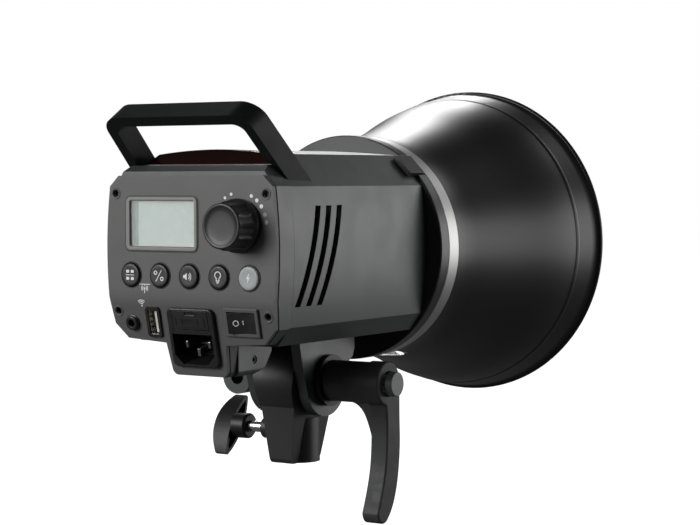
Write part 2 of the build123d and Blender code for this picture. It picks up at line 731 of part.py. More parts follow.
with BuildPart() as ratchet_core:
    with BuildSketch(across(-46)):
        with Locations((0, TILT_Z)):
            Circle(CORE_R)
            with PolarLocations(CORE_R, 18):
                Rectangle(0.8, 1.1, mode=Mode.SUBTRACT)
            Circle(STUD_R + 0.03, mode=Mode.SUBTRACT)
    extrude(amount=22)
save(ratchet_core, "ratchet_core")

with BuildPart() as clamp_lever:
    with BuildSketch(across(-23.3)):
        with Locations((0, TILT_Z)):
            Circle(11.0)
    extrude(amount=LEVER_FACE_X + 23.3)
    # Arm: round head, narrow neck, and a tip that curves to the rear.
    with BuildSketch(across(LEVER_FACE_X)):
        with Locations((0, TILT_Z)):
            Circle(11.7)
        with BuildLine():
            Spline((10.4, 50.0), (3.6, 37.0), (1.6, 12.0), (10.6, -23.0), tangents=((-0.6, -1), (0.42, -1)))
            ThreePointArc((10.6, -23.0), (6.6, -28.6), (0.2, -26.8))
            Spline(
                (0.2, -26.8), (-5.0, -20.0), (-12.0, 10.4), (-11.6, 44.0), tangents=((-0.6, 0.6), (0, 1))
            )
            Line((-11.6, 44.0), (10.4, 50.0))
        make_face()
    extrude(amount=10)
    fillet(clamp_lever.faces().sort_by(Axis.X)[0].edges(), radius=1.2)
    # Flared root between barrel and arm.
    with BuildSketch(facing_front(1.2)):
        with BuildLine():
            Line((-36.0, 36.0), (-49.0, 36.0))
            Line((-49.0, 36.0), (-49.0, 10.0))
            Spline((-49.0, 10.0), (-45.4, 24.0), (-36.0, 33.8), tangents=((0.1, 1), (1, 0.25)))
            Line((-36.0, 33.8), (-36.0, 36.0))
        make_face()
    extrude(amount=10.4)
    # Core cavity, shoulder, and the counterbore that takes the button's stem.
    with BuildSketch(across(-23)):
        with Locations((0, TILT_Z)):
            Circle(CORE_R + 0.2)
    extrude(amount=-23.6, mode=Mode.SUBTRACT)
    for start, depth, radius in ((-40, 10, 3.6), (-49, 10, 5.6), (-54.6, 10, 6.9)):
        with BuildSketch(across(start)):
            with Locations((0, TILT_Z)):
                Circle(radius)
        extrude(amount=-depth, mode=Mode.SUBTRACT)
save(clamp_lever, "clamp_lever")

with BuildPart() as lever_button:
    with BuildSketch(across(-46)):
        with Locations((0, TILT_Z)):
            Circle(3.4)
    extrude(amount=-14)
    with BuildSketch(across(-59.6)):
        with Locations((0, TILT_Z)):
            Circle(6.5)
    extrude(amount=-3.8)
    fillet(lever_button.edges().filter_by(GeomType.CIRCLE).sort_by(Axis.X)[0], radius=0.6)
    with BuildSketch(across(-58.8)):
        with Locations((0, TILT_Z)):
            Circle(6.5)
            Circle(5.4, mode=Mode.SUBTRACT)
    extrude(amount=-0.8)
save(lever_button, "lever_button")

SPRING_TURNS = 4
SPRING_PITCH = 1.3
with BuildPart() as pull_spring:
    with BuildLine() as spring_path:
        start = (-59.0, 0, TILT_Z)
        Helix(SPRING_PITCH, SPRING_PITCH * SPRING_TURNS, 4.5, center=start, direction=(1, 0, 0))
    with BuildSketch(Plane(origin=spring_path.line @ 0, z_dir=spring_path.line % 0)):
        Circle(0.45)
    sweep(is_frenet=True)
save(pull_spring, "pull_spring")

# =====================================================================================
# Controls on the rear panel
# =====================================================================================
with BuildPart() as display_frame:
    with BuildSketch(UPPER.offset(-2.2)):
        with Locations(LCD_AT):
            RectangleRounded(45.7, 27.6, 3.0)
        with Locations(SCREEN_AT):
            RectangleRounded(40.4, 22.9, 0.8, mode=Mode.SUBTRACT)
    extrude(amount=2.9)
    chamfer(display_frame.faces().sort_by(Axis.Y)[-1].edges(), length=0.5)
save(display_frame, "display_frame")

with BuildPart() as display_glass:
    with BuildSketch(UPPER.offset(-1.8)):
        with Locations(SCREEN_AT):
            RectangleRounded(40.2, 22.7, 0.7)
    extrude(amount=1.2)
save(display_glass, "display_glass")

with BuildPart() as display_module:
    with BuildSketch(UPPER.offset(-7.0)):
        with Locations(LCD_AT):
            Rectangle(44, 26)
    extrude(amount=4.6)
save(display_module, "display_module")

with BuildPart() as control_board:
    with BuildSketch(UPPER.offset(-12)):
        with Locations((0, 122)):
            Rectangle(88, 50)
    extrude(amount=1.6)
    with BuildSketch(UPPER.offset(-13.8)):
        with Locations((-20, 128), (12, 118), (25, 108)):
            Rectangle(9, 9)
    extrude(amount=1.8)
save(control_board, "control_board")

with BuildPart() as tact_switches:
    with BuildSketch(UPPER.offset(-10.4)):
        with Locations((0, BUTTON_Z)):
            with GridLocations(BUTTON_PITCH, 1, 5, 1):
                Rectangle(6, 6)
    extrude(amount=2.6)
save(tact_switches, "tact_switches")

BUTTONS = ["group_button", "slave_button", "buzzer_button", "modelling_button", "test_button"]
for number, button_name in enumerate(BUTTONS):
    place = (BUTTON_PITCH * (number - 2), BUTTON_Z)
    with BuildPart() as button:
        with BuildSketch(UPPER.offset(-3.9)):
            with Locations(place):
                Circle(BUTTON_R)
        extrude(amount=5.3)
        fillet(button.edges().filter_by(GeomType.CIRCLE).sort_by(Axis.Y)[-1], radius=0.7)
        with BuildSketch(UPPER.offset(-4.9)):
            with Locations(place):
                Circle(BUTTON_R + 1.2)
        extrude(amount=1.1)
        with BuildSketch(UPPER.offset(-6.5)):
            with Locations(place):
                Circle(1.8)
        extrude(amount=2)
    save(button, button_name)

DIAL = Plane(origin=(DIAL_X, PANEL_Y, DIAL_Z), x_dir=(-1, 0, 0), z_dir=(0, 1, 0))
FLUTES = 12
with BuildPart() as dial_encoder:
    with BuildSketch(DIAL.offset(-10.4)):
        Rectangle(13, 13)
    extrude(amount=6.4)
    with BuildSketch(DIAL.offset(-10.4)):
        Circle(4.6)
    extrude(amount=9.0)
    with BuildSketch(DIAL.offset(-8.6)):
        Circle(3.0)
    extrude(amount=10, mode=Mode.SUBTRACT)
save(dial_encoder, "dial_encoder")

with BuildPart() as dial_plunger:
    with BuildSketch(DIAL.offset(-7.6)):
        Circle(2.92)
    extrude(amount=18.6)
save(dial_plunger, "dial_plunger")

with BuildPart() as dial_knob:
    # Skirt, fluted grip and dished face, turned about the dial's axis.
    with BuildSketch(Plane(origin=(DIAL_X, PANEL_Y, DIAL_Z), x_dir=(1, 0, 0), z_dir=(0, 0, 1))):
        with BuildLine():
            Polyline(
                (0, 1.0), (13.4, 1.0), (13.4, 3.4), (12.7, 4.4), (12.3, 13.6), (11.4, 15.4), (10.4, 15.9),
                (9.2, 15.3), (0, 15.3), close=True,
            )
        make_face()
    revolve(axis=Axis((DIAL_X, PANEL_Y, DIAL_Z), (0, 1, 0)))
    with BuildSketch(DIAL.offset(4.6)):
        with PolarLocations(17.6, FLUTES, start_angle=15):
            Circle(5.9)
    extrude(amount=14, mode=Mode.SUBTRACT)
    with BuildSketch(DIAL.offset(0.5)):
        Circle(2.97)
    extrude(amount=10.7, mode=Mode.SUBTRACT)
    with BuildSketch(DIAL.offset(0.5)):
        Circle(9.5)
        Circle(5.0, mode=Mode.SUBTRACT)
    extrude(amount=6, mode=Mode.SUBTRACT)
save(dial_knob, "dial_knob")

with BuildPart() as usb_socket:
    with BuildSketch(LOWER.offset(-9)):
        with Locations(USB_AT):
            RectangleRounded(8.7, 15.5, 1.1)
    extrude(amount=9.5)
    with BuildSketch(LOWER.offset(1)):
        with Locations(USB_AT):
            Rectangle(5.2, 12.6)
    extrude(amount=-9, mode=Mode.SUBTRACT)
    with BuildSketch(LOWER.offset(-9)):
        with Locations((USB_AT[0] - 1.3, USB_AT[1])):
            Rectangle(1.9, 11.4)
    extrude(amount=8.2)
save(usb_socket, "usb_socket")

with BuildPart() as sync_socket:
    with BuildSketch(LOWER.offset(0.1)):
        with Locations(SYNC_AT):
            Circle(4.1)
    extrude(amount=2.2)
    with BuildSketch(LOWER.offset(-9)):
        with Locations(SYNC_AT):
            Circle(3.0)
    extrude(amount=13)
    with BuildSketch(LOWER.offset(6)):
        with Locations(SYNC_AT):
            Circle(1.8)
    extrude(amount=-13.5, mode=Mode.SUBTRACT)
save(sync_socket, "sync_socket")

SOCKET_FLOOR = -15.5     # depth of the inlet's recess behind the panel face
PIN_PLACES = [(-7.0, -24.2), (7.0, -24.2), (0.0, -28.2)]
with BuildPart() as mains_inlet:
    with BuildSketch(LOWER.offset(0.1)):
        with Locations(INLET_AT):
            RectangleRounded(29.0, 30.9, 3.4)
    extrude(amount=2.2)
    fillet(mains_inlet.faces().sort_by(Axis.Y)[-1].edges(), radius=0.9)
    with BuildSketch(LOWER.offset(-19)):
        with Locations(INLET_AT):
            RectangleRounded(26.8, 28.6, 2.2)
    extrude(amount=19.2)
    with BuildSketch(LOWER.offset(3)):
        with Locations(DRAWER_AT):
            Rectangle(22.6, 10.2)
    extrude(amount=-18, mode=Mode.SUBTRACT)
    with BuildSketch(LOWER.offset(3)):
        with BuildLine():
            Polyline(
                (-12.3, -17.6), (12.3, -17.6), (12.3, -28.6), (7.6, -33.4), (-7.6, -33.4), (-12.3, -28.6),
                close=True,
            )
        make_face()
    extrude(amount=SOCKET_FLOOR - 3, mode=Mode.SUBTRACT)
    with BuildSketch(LOWER.offset(-20)):
        with Locations(PIN_PLACES):
            Rectangle(2.0, 4.0)
    extrude(amount=6, mode=Mode.SUBTRACT)
save(mains_inlet, "mains_inlet")

with BuildPart() as inlet_pins:
    with BuildSketch(LOWER.offset(-24)):
        with Locations(PIN_PLACES):
            Rectangle(2.0, 4.0)
    extrude(amount=22.4)
    chamfer(inlet_pins.faces().group_by(Axis.Y)[-1].edges(), length=0.5)
save(inlet_pins, "inlet_pins")

with BuildPart() as fuse_drawer:
    with BuildSketch(LOWER.offset(-13.5)):
        with Locations(DRAWER_AT):
            Rectangle(22.2, 9.8)
    extrude(amount=15.9)
    with BuildSketch(LOWER.offset(-12)):
        with Locations((0, DRAWER_AT[1] - 2)):
            Rectangle(21, 12)
    extrude(amount=6.4, mode=Mode.SUBTRACT)
    with BuildSketch(LOWER.offset(3)):
        with Locations((0, DRAWER_AT[1] + 3.2)):
            Rectangle(6, 1.4)
    extrude(amount=-1.2, mode=Mode.SUBTRACT)
save(fuse_drawer, "fuse_drawer")

with BuildPart() as fuse:
    fuse_end = LOWER.from_local_coords((-10.0, DRAWER_AT[1] - 1.6, -8.9))
    with BuildSketch(Plane(origin=fuse_end, z_dir=(-1, 0, 0))):
        Circle(2.5)
    extrude(amount=20)
save(fuse, "fuse")

ROCKER_REST = 7.5        # the off side is pressed at rest, and on is twice this away
PIVOT_DEPTH = -3.0


def rocked(x, height):
    """Corner of the rocker's profile, turned about its pivot into the off position."""
    turn = -radians(ROCKER_REST)
    deep = height - PIVOT_DEPTH
    return (x * cos(turn) - deep * sin(turn), x * sin(turn) + deep * cos(turn) + PIVOT_DEPTH)


ROCKER_HALF = 5.2
PIVOT_R = 1.1


def rocker_section(height):
    """Plane across the rocker's pivot, this far up from its middle; extrude goes down the panel."""
    middle = LOWER.from_local_coords((ROCKER_AT[0], ROCKER_AT[1] + height, 0))
    return Plane(origin=middle, x_dir=(-1, 0, 0), z_dir=-LOWER.y_dir)


with BuildPart() as switch_frame:
    with BuildSketch(LOWER.offset(0.1)):
        with Locations(ROCKER_AT):
            RectangleRounded(21.0, 15.0, 0.6)
    extrude(amount=1.3)
    chamfer(switch_frame.faces().sort_by(Axis.Y)[-1].edges(), length=0.5)
    with BuildSketch(LOWER.offset(-13)):
        with Locations(ROCKER_AT):
            Rectangle(19.0, 13.0)
    extrude(amount=13.2)
    with BuildSketch(LOWER.offset(3)):
        with Locations(ROCKER_AT):
            Rectangle(17.0, 11.0)
    extrude(amount=-13.5, mode=Mode.SUBTRACT)
    # Holes for the rocker's pivot pins.
    with BuildSketch(rocker_section(ROCKER_HALF + 1.2)):
        with Locations((0, PIVOT_DEPTH)):
            Circle(PIVOT_R + 0.05)
    extrude(amount=2 * ROCKER_HALF + 2.4, mode=Mode.SUBTRACT)
save(switch_frame, "switch_frame")

with BuildPart() as rocker:
    with BuildSketch(rocker_section(ROCKER_HALF)):
        with BuildLine():
            Polyline(
                rocked(-7.7, 2.6), rocked(1.2, 0.4), rocked(7.7, 2.0), rocked(7.0, -2.0), rocked(3.0, -6.5),
                rocked(-3.0, -6.5), rocked(-7.0, -2.0), close=True,
            )
        make_face()
    extrude(amount=2 * ROCKER_HALF)
    with BuildSketch(rocker_section(ROCKER_HALF + 1)):
        with Locations((0, PIVOT_DEPTH)):
            Circle(PIVOT_R)
    extrude(amount=2 * ROCKER_HALF + 2)
save(rocker, "rocker")

# =====================================================================================
# Inside the housing
# =====================================================================================
FAN_Z = 124.0
FAN = facing_front(51.0)
with BuildPart() as fan_frame:
    with BuildSketch(FAN):
        with Locations((0, FAN_Z)):
            RectangleRounded(60, 60, 4)
            Circle(28.6, mode=Mode.SUBTRACT)
            with GridLocations(50, 50, 2, 2):
                Circle(2.1, mode=Mode.SUBTRACT)
    extrude(amount=15)
    with BuildSketch(facing_front(38.2)):
        with Locations((0, FAN_Z)):
            Circle(10)
            with PolarLocations(19, 3):
                Rectangle(21, 3.2)
            Circle(2.1, mode=Mode.SUBTRACT)
    extrude(amount=2.2)
save(fan_frame, "fan_frame")

with BuildPart() as fan_rotor:
    with BuildSketch(facing_front(50.4)):
        with Locations((0, FAN_Z)):
            Circle(11)
    extrude(amount=11.6)
    for blade in range(7):
        angle = 360 * blade / 7
        radial = Plane(
            origin=(0, 44.6, FAN_Z), x_dir=(0, 1, 0), z_dir=(cos(radians(angle)), 0, sin(radians(angle)))
        )
        with BuildSketch(radial.offset(10)):
            with Locations(Location((0, 0), 35)):
                Rectangle(11.5, 1.4)
        extrude(amount=17)
    with BuildSketch(facing_front(46)):
        with Locations((0, FAN_Z)):
            Circle(2.04)
    extrude(amount=9.6)
save(fan_rotor, "fan_rotor")

with BuildPart() as capacitors:
    with BuildSketch(facing_front(22)):
        with Locations((-31.5, 88.2), (0, 88.2), (31.5, 88.2)):
            Circle(15)
    extrude(amount=58)
save(capacitors, "capacitors")

with BuildPart() as power_board:
    with BuildSketch(Plane.XY.offset(106)):
        with Locations((0, -6)):
            Rectangle(92, 58)
    extrude(amount=1.6)
    with BuildSketch(Plane.XY.offset(107.6)):
        with Locations((-24, -8)):
            Rectangle(26, 30)
        with Locations((26, -2)):
            Rectangle(12, 38)
    extrude(amount=24)
save(power_board, "power_board")
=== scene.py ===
"""Looks of the monolight strobe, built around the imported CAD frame. Tables are in millimetres."""

import json
import math

import bmesh
import bpy
from mathutils import Matrix, Vector

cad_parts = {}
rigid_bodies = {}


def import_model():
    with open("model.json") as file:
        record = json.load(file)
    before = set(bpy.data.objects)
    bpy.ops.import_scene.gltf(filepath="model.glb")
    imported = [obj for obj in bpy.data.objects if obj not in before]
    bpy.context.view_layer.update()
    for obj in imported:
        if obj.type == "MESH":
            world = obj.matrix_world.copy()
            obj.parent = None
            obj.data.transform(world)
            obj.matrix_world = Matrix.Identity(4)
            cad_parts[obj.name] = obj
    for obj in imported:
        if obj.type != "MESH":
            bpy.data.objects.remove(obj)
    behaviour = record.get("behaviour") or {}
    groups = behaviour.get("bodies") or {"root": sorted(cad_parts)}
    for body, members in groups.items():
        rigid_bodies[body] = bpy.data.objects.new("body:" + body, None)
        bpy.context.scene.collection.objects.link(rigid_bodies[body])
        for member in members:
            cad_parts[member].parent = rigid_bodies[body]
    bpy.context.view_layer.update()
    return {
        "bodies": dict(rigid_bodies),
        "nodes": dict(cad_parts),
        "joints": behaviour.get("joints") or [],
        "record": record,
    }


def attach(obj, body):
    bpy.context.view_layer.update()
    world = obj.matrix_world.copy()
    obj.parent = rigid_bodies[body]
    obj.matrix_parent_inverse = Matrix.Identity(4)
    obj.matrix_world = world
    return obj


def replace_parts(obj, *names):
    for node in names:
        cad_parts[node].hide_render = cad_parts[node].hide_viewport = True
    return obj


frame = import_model()
nodes = frame["nodes"]

MM = 0.001
OPTICAL_Z = 114.0
PANEL_Y = 96.0
CREASE_Z = 92.5
PANEL_TILT = math.radians(12.5)

ROOM_LIGHT = 0.07    # what the object sees of the studio besides the softboxes
DIM_LIGHT = 0.03
FLOOR_Z = -0.155     # the reflector just clears it when the head points straight down; metres


# ---------------------------------------------------------------------------------------------
# Materials
# ---------------------------------------------------------------------------------------------
class Surface:
    """A Principled material with procedural colour, roughness and bump, in object space."""

    def __init__(self, name, color, roughness, metallic=0.0, **sockets):
        self.material = bpy.data.materials.new(name)
        self.material.use_nodes = True
        self.tree = self.material.node_tree
        self.shader = self.tree.nodes["Principled BSDF"]
        self.shader.inputs["Base Color"].default_value = (*color, 1.0)
        self.shader.inputs["Roughness"].default_value = roughness
        self.shader.inputs["Metallic"].default_value = metallic
        for socket, value in sockets.items():
            self.shader.inputs[socket.replace("_", " ")].default_value = value
        self.color = color
        self.roughness = roughness
        self.place = self.node("ShaderNodeTexCoord").outputs["Object"]

    def node(self, kind, **settings):
        made = self.tree.nodes.new(kind)
        for key, value in settings.items():
            setattr(made, key, value)
        return made

    def link(self, a, b):
        self.tree.links.new(a, b)

    def noise(self, size_mm, detail=2.0, stretch=(1, 1, 1), source=None):
        """Noise whose grains are about size_mm across, longer along the axes with a small stretch."""
        mapping = self.node("ShaderNodeMapping")
        mapping.inputs["Scale"].default_value = stretch
        texture = self.node("ShaderNodeTexNoise")
        texture.inputs["Scale"].default_value = 1.0 / (size_mm * MM)
        texture.inputs["Detail"].default_value = detail
        self.link(source or self.place, mapping.inputs["Vector"])
        self.link(mapping.outputs["Vector"], texture.inputs["Vector"])
        return texture.outputs["Fac"]

    def spread(self, value, low, high, start=0.3, end=0.7):
        """Maps a texture's middle range onto low to high."""
        node = self.node("ShaderNodeMapRange", interpolation_type="SMOOTHSTEP")
        node.inputs["From Min"].default_value = start
        node.inputs["From Max"].default_value = end
        node.inputs["To Min"].default_value = low
        node.inputs["To Max"].default_value = high
        self.link(value, node.inputs["Value"])
        return node.outputs["Result"]

    def tint(self, value, other):
        """Mixes the base colour towards another colour by a value."""
        mix = self.node("ShaderNodeMix", data_type="RGBA")
        base = self.shader.inputs["Base Color"]
        if base.is_linked:
            self.link(base.links[0].from_socket, mix.inputs["A"])
        else:
            mix.inputs["A"].default_value = base.default_value
        mix.inputs["B"].default_value = (*other, 1.0)
        self.link(value, mix.inputs["Factor"])
        self.link(mix.outputs["Result"], base)

    def rough(self, value, amount):
        varied = self.spread(value, self.roughness - amount, self.roughness + amount)
        self.link(varied, self.shader.inputs["Roughness"])

    def bump(self, value, height_mm):
        node = self.node("ShaderNodeBump")
        node.inputs["Strength"].default_value = 1.0
        node.inputs["Distance"].default_value = height_mm * MM
        self.link(value, node.inputs["Height"])
        if self.shader.inputs["Normal"].is_linked:
            self.link(self.shader.inputs["Normal"].links[0].from_socket, node.inputs["Normal"])
        self.link(node.outputs["Normal"], self.shader.inputs["Normal"])

    def round_coordinates(self):
        """Axial distance and radius about the optical axis, for turned and spun metal."""
        centre = self.node("ShaderNodeVectorMath", operation="SUBTRACT")
        centre.inputs[1].default_value = (0, 0, OPTICAL_Z * MM)
        self.link(self.place, centre.inputs[0])
        flat = self.node("ShaderNodeVectorMath", operation="MULTIPLY")
        flat.inputs[1].default_value = (1, 0, 1)
        self.link(centre.outputs["Vector"], flat.inputs[0])
        length = self.node("ShaderNodeVectorMath", operation="LENGTH")
        self.link(flat.outputs["Vector"], length.inputs[0])
        split = self.node("ShaderNodeSeparateXYZ")
        self.link(self.place, split.inputs["Vector"])
        join = self.node("ShaderNodeCombineXYZ")
        self.link(split.outputs["Y"], join.inputs["X"])
        self.link(length.outputs["Value"], join.inputs["Y"])
        return join.outputs["Vector"]


def moulded(name, color, roughness=0.5, grain=0.28, speckle=0.35, height=0.018, lift=1.9, **sockets):
    """Spark-textured plastic: fine pits, pale specks, and slow changes of gloss."""
    surface = Surface(name, color, roughness, **sockets)
    fine = surface.noise(grain, detail=2.0)
    broad = surface.noise(14.0, detail=2.0)
    pale = tuple(min(1.0, c * lift) for c in color)
    surface.tint(surface.spread(fine, 0.0, speckle, 0.5, 0.78), pale)
    surface.tint(surface.spread(broad, 0.0, 0.06, 0.3, 0.75), tuple(c * 0.7 for c in color))
    surface.rough(broad, 0.02)
    surface.bump(fine, height)
    return surface.material


def smooth_plastic(name, color, roughness=0.35, **sockets):
    """Polished or satin plastic with faint handling marks."""
    surface = Surface(name, color, roughness, **sockets)
    marks = surface.noise(5.0, detail=5.0)
    surface.tint(surface.spread(marks, 0.0, 0.2, 0.45, 0.8), tuple(min(1.0, c * 1.5 + 0.004) for c in color))
    surface.rough(marks, 0.06)
    surface.bump(surface.noise(0.5, detail=2.0), 0.004)
    return surface.material


def turned_metal(name, color, roughness=0.3, metallic=1.0, groove=0.22, height=0.006, **sockets):
    """Metal turned or spun about the optical axis: fine rings in colour, gloss and bump."""
    surface = Surface(name, color, roughness, metallic, **sockets)
    rings = surface.noise(groove, detail=2.0, source=surface.round_coordinates())
    smudge = surface.noise(60.0, detail=0.0)
    surface.tint(surface.spread(rings, 0.0, 0.25), tuple(c * 0.82 for c in color))
    surface.rough(smudge, 0.012)
    surface.bump(rings, height)
    return surface.material


def plated(name, color, roughness=0.25):
    """Small plated or machined metal parts."""
    surface = Surface(name, color, roughness, 1.0)
    grain = surface.noise(0.6, detail=4.0)
    surface.tint(surface.spread(grain, 0.0, 0.35), tuple(c * 0.7 for c in color))
    surface.rough(grain, 0.08)
    surface.bump(grain, 0.004)
    return surface.material


def clear(name, color, roughness, transmission, **sockets):
    """Glass and clear plastic, with a faint haze."""
    surface = Surface(name, color, roughness, **sockets)
    surface.shader.inputs["Transmission Weight"].default_value = transmission
    surface.rough(surface.noise(6.0, detail=3.0), min(0.03, roughness))
    return surface.material


MATERIALS = {
    "housing": moulded("housing", (0.040, 0.044, 0.044), 0.42, Specular_IOR_Level=0.65),
    "panel": moulded("panel", (0.084, 0.084, 0.083), 0.50, grain=0.22, speckle=0.25, height=0.010),
    "handle": moulded("handle", (0.007, 0.008, 0.008), 0.55, speckle=0.5, Specular_IOR_Level=0.15),
    "sensor_red": smooth_plastic("sensor_red", (0.012, 0.0006, 0.0006), 0.10),
    "dark_metal": turned_metal("dark_metal", (0.022, 0.023, 0.024), 0.38, metallic=0.0),
    "ring_metal": turned_metal("ring_metal", (0.46, 0.46, 0.455), 0.45),
    "latch": moulded("latch", (0.014, 0.015, 0.015), 0.45),
    "reflector_black": turned_metal(
        "reflector_black", (0.010, 0.010, 0.010), 0.38, metallic=0.0, height=0.003,
        Specular_IOR_Level=0.4,
    ),
    "reflector_inner": turned_metal("reflector_inner", (0.80, 0.80, 0.80), 0.36, height=0.003),
    "bare_aluminium": turned_metal("bare_aluminium", (0.55, 0.55, 0.55), 0.35),
    "tube_glass": clear("tube_glass", (0.93, 0.95, 0.94), 0.12, 0.6),
    "lamp_glass": clear("lamp_glass", (0.95, 0.94, 0.90), 0.30, 0.5),
    "ceramic": smooth_plastic("ceramic", (0.70, 0.68, 0.63), 0.3),
    "bracket": moulded("bracket", (0.019, 0.019, 0.020), 0.42, grain=0.5, speckle=0.2),
    "knob_black": moulded("knob_black", (0.009, 0.009, 0.009), 0.42, speckle=0.2, Specular_IOR_Level=0.35),
    "steel": plated("steel", (0.62, 0.63, 0.65)),
    "black_screws": plated("black_screws", (0.03, 0.03, 0.03), 0.35),
    "brass": plated("brass", (0.72, 0.52, 0.22)),
    "nylon": smooth_plastic("nylon", (0.62, 0.6, 0.55), 0.45),
    "lever": smooth_plastic("lever", (0.042, 0.044, 0.043), 0.52, Specular_IOR_Level=0.25),
    "lever_grey": moulded("lever_grey", (0.10, 0.105, 0.103), 0.42),
    "display_trim": smooth_plastic("display_trim", (0.20, 0.20, 0.19), 0.4),
    "display_glass": clear("display_glass", (0.9, 0.93, 0.92), 0.05, 0.92),
    # painted light: the display face glows, standing in for the front light it reflects
    "display_face": smooth_plastic(
        "display_face", (0.55, 0.60, 0.58), 0.5, Emission_Color=(0.83, 0.88, 0.85, 1), Emission_Strength=0.40,
    ),
    "board": smooth_plastic("board", (0.02, 0.13, 0.06), 0.4),
    "button_black": smooth_plastic("button_black", (0.010, 0.010, 0.010), 0.4),
    "button_clear": smooth_plastic("button_clear", (0.36, 0.38, 0.38), 0.4),
    "inner_plastic": smooth_plastic("inner_plastic", (0.02, 0.02, 0.02), 0.45),
    "capacitor_sleeve": smooth_plastic("capacitor_sleeve", (0.03, 0.04, 0.08), 0.3),
    "socket_plastic": smooth_plastic("socket_plastic", (0.012, 0.012, 0.012), 0.36),
    "fuse_glass": clear("fuse_glass", (0.93, 0.95, 0.94), 0.05, 0.8),
}
INK = smooth_plastic("white_ink", (0.80, 0.80, 0.79), 0.55)
DIM_INK = smooth_plastic("grey_ink", (0.30, 0.30, 0.29), 0.55)
DULL_PINS = plated("dull_pins", (0.22, 0.22, 0.22), 0.4)
DIAL_RUBBER = moulded("dial_rubber", (0.018, 0.018, 0.018), 0.42, grain=0.2, speckle=0.3, height=0.008)
# painted light: the strip glows a little, standing in for the front light it reflects
LCD_STRIP = smooth_plastic(
    "lcd_strip", (0.45, 0.49, 0.47), 0.5, Emission_Color=(0.83, 0.90, 0.87, 1), Emission_Strength=0.22,
)
LCD_LIP = smooth_plastic("lcd_lip", (0.25, 0.24, 0.22), 0.35)

slot_of = {part["node"]: part["material_slot"] for part in frame["record"]["subparts"]}
bodies = frame["record"]["behaviour"]["bodies"]
body_of = {node_name: body for body, members in bodies.items() for node_name in members}
for node_name, node_object in nodes.items():
    node_object.data.materials.clear()
    node_object.data.materials.append(MATERIALS[slot_of[node_name]])


# ---------------------------------------------------------------------------------------------
# Camera, light and stage
# ---------------------------------------------------------------------------------------------
def make_camera():
    data = bpy.data.cameras.new("camera")
    data.sensor_width = 36.0
    data.lens = 99.77
    camera = bpy.data.objects.new("camera", data)
    bpy.context.scene.collection.objects.link(camera)
    forward = Vector((0.5378, -0.8420, -0.0436))
    turn = forward.to_track_quat("-Z", "Y").to_matrix() @ Matrix.Rotation(-0.0022, 3, "Z")
    camera.matrix_world = Matrix.Translation(Vector((-588.6, 868.5, 153.1)) * MM) @ turn.to_4x4()
    bpy.context.scene.camera = camera


def softbox(name, place, size, power, target=(0.0, 0.0, 0.1)):
    data = bpy.data.lights.new(name, "AREA")
    data.shape = "RECTANGLE"
    data.size, data.size_y = size
    data.energy = power
    light = bpy.data.objects.new(name, data)
    bpy.context.scene.collection.objects.link(light)
    light.location = place
    light.rotation_euler = (Vector(target) - Vector(place)).to_track_quat("-Z", "Y").to_euler()


def seen_by_camera(tree, lit, seen):
    """One shader for camera rays and another for all the rest, so a white backdrop gives little light."""
    path = tree.nodes.new("ShaderNodeLightPath")
    mix = tree.nodes.new("ShaderNodeMixShader")
    tree.links.new(path.outputs["Is Camera Ray"], mix.inputs["Fac"])
    tree.links.new(lit, mix.inputs[1])
    tree.links.new(seen, mix.inputs[2])
    return mix.outputs["Shader"]


def make_world():
    """White behind the object; for light, a dim room that is darker below eye level."""
    world = bpy.data.worlds.new("studio")
    world.use_nodes = True
    tree = world.node_tree
    link = tree.links.new
    seen = tree.nodes["Background"]
    seen.inputs["Color"].default_value = (1, 1, 1, 1)
    seen.inputs["Strength"].default_value = 1.0
    place = tree.nodes.new("ShaderNodeTexCoord")
    along = tree.nodes.new("ShaderNodeVectorMath")
    along.operation = "DOT_PRODUCT"
    along.inputs[1].default_value = (0, 0, 1)
    ramp = tree.nodes.new("ShaderNodeMapRange")
    ramp.interpolation_type = "SMOOTHSTEP"
    ramp.inputs["From Min"].default_value = -0.35
    ramp.inputs["From Max"].default_value = 0.15
    ramp.inputs["To Min"].default_value = DIM_LIGHT
    ramp.inputs["To Max"].default_value = ROOM_LIGHT
    lit = tree.nodes.new("ShaderNodeBackground")
    link(place.outputs["Generated"], along.inputs[0])
    link(along.outputs["Value"], ramp.inputs["Value"])
    link(ramp.outputs["Result"], lit.inputs["Strength"])
    mixed = seen_by_camera(tree, lit.outputs["Background"], seen.outputs["Background"])
    link(mixed, tree.nodes["World Output"].inputs["Surface"])
    bpy.context.scene.world = world


def make_floor():
    """Pale floor: the camera sees it nearly white with a soft shadow, and with painted shade where its glow
    dims near the spot under the object; the object sees it grey.
    """
    bm = bmesh.new()
    bmesh.ops.create_grid(bm, x_segments=4, y_segments=4, size=6.0)
    floor = mesh_object("studio_floor", bm)
    floor.location.z = FLOOR_Z
    surface = Surface("floor_paint", (0.16, 0.16, 0.16), 0.7)
    surface.tint(surface.spread(surface.noise(80.0), 0.0, 0.1), (0.15, 0.15, 0.15))
    surface.shader.inputs["Specular IOR Level"].default_value = 0.0
    bright = surface.node("ShaderNodeBsdfDiffuse")
    bright.inputs["Color"].default_value = (0.35, 0.35, 0.35, 1)
    glow = surface.node("ShaderNodeEmission")
    away = surface.node("ShaderNodeVectorMath", operation="LENGTH")
    surface.link(surface.place, away.inputs[0])
    # painted shade: the glow dims from 1.0 far out to 0.8 round the spot under the object
    surface.link(surface.spread(away.outputs["Value"], 0.80, 1.0, 0.3, 1.1), glow.inputs["Strength"])
    both = surface.node("ShaderNodeAddShader")
    surface.link(bright.outputs["BSDF"], both.inputs[0])
    surface.link(glow.outputs["Emission"], both.inputs[1])
    mixed = seen_by_camera(surface.tree, surface.shader.outputs["BSDF"], both.outputs["Shader"])
    surface.link(mixed, surface.tree.nodes["Material Output"].inputs["Surface"])
    floor.data.materials.append(surface.material)


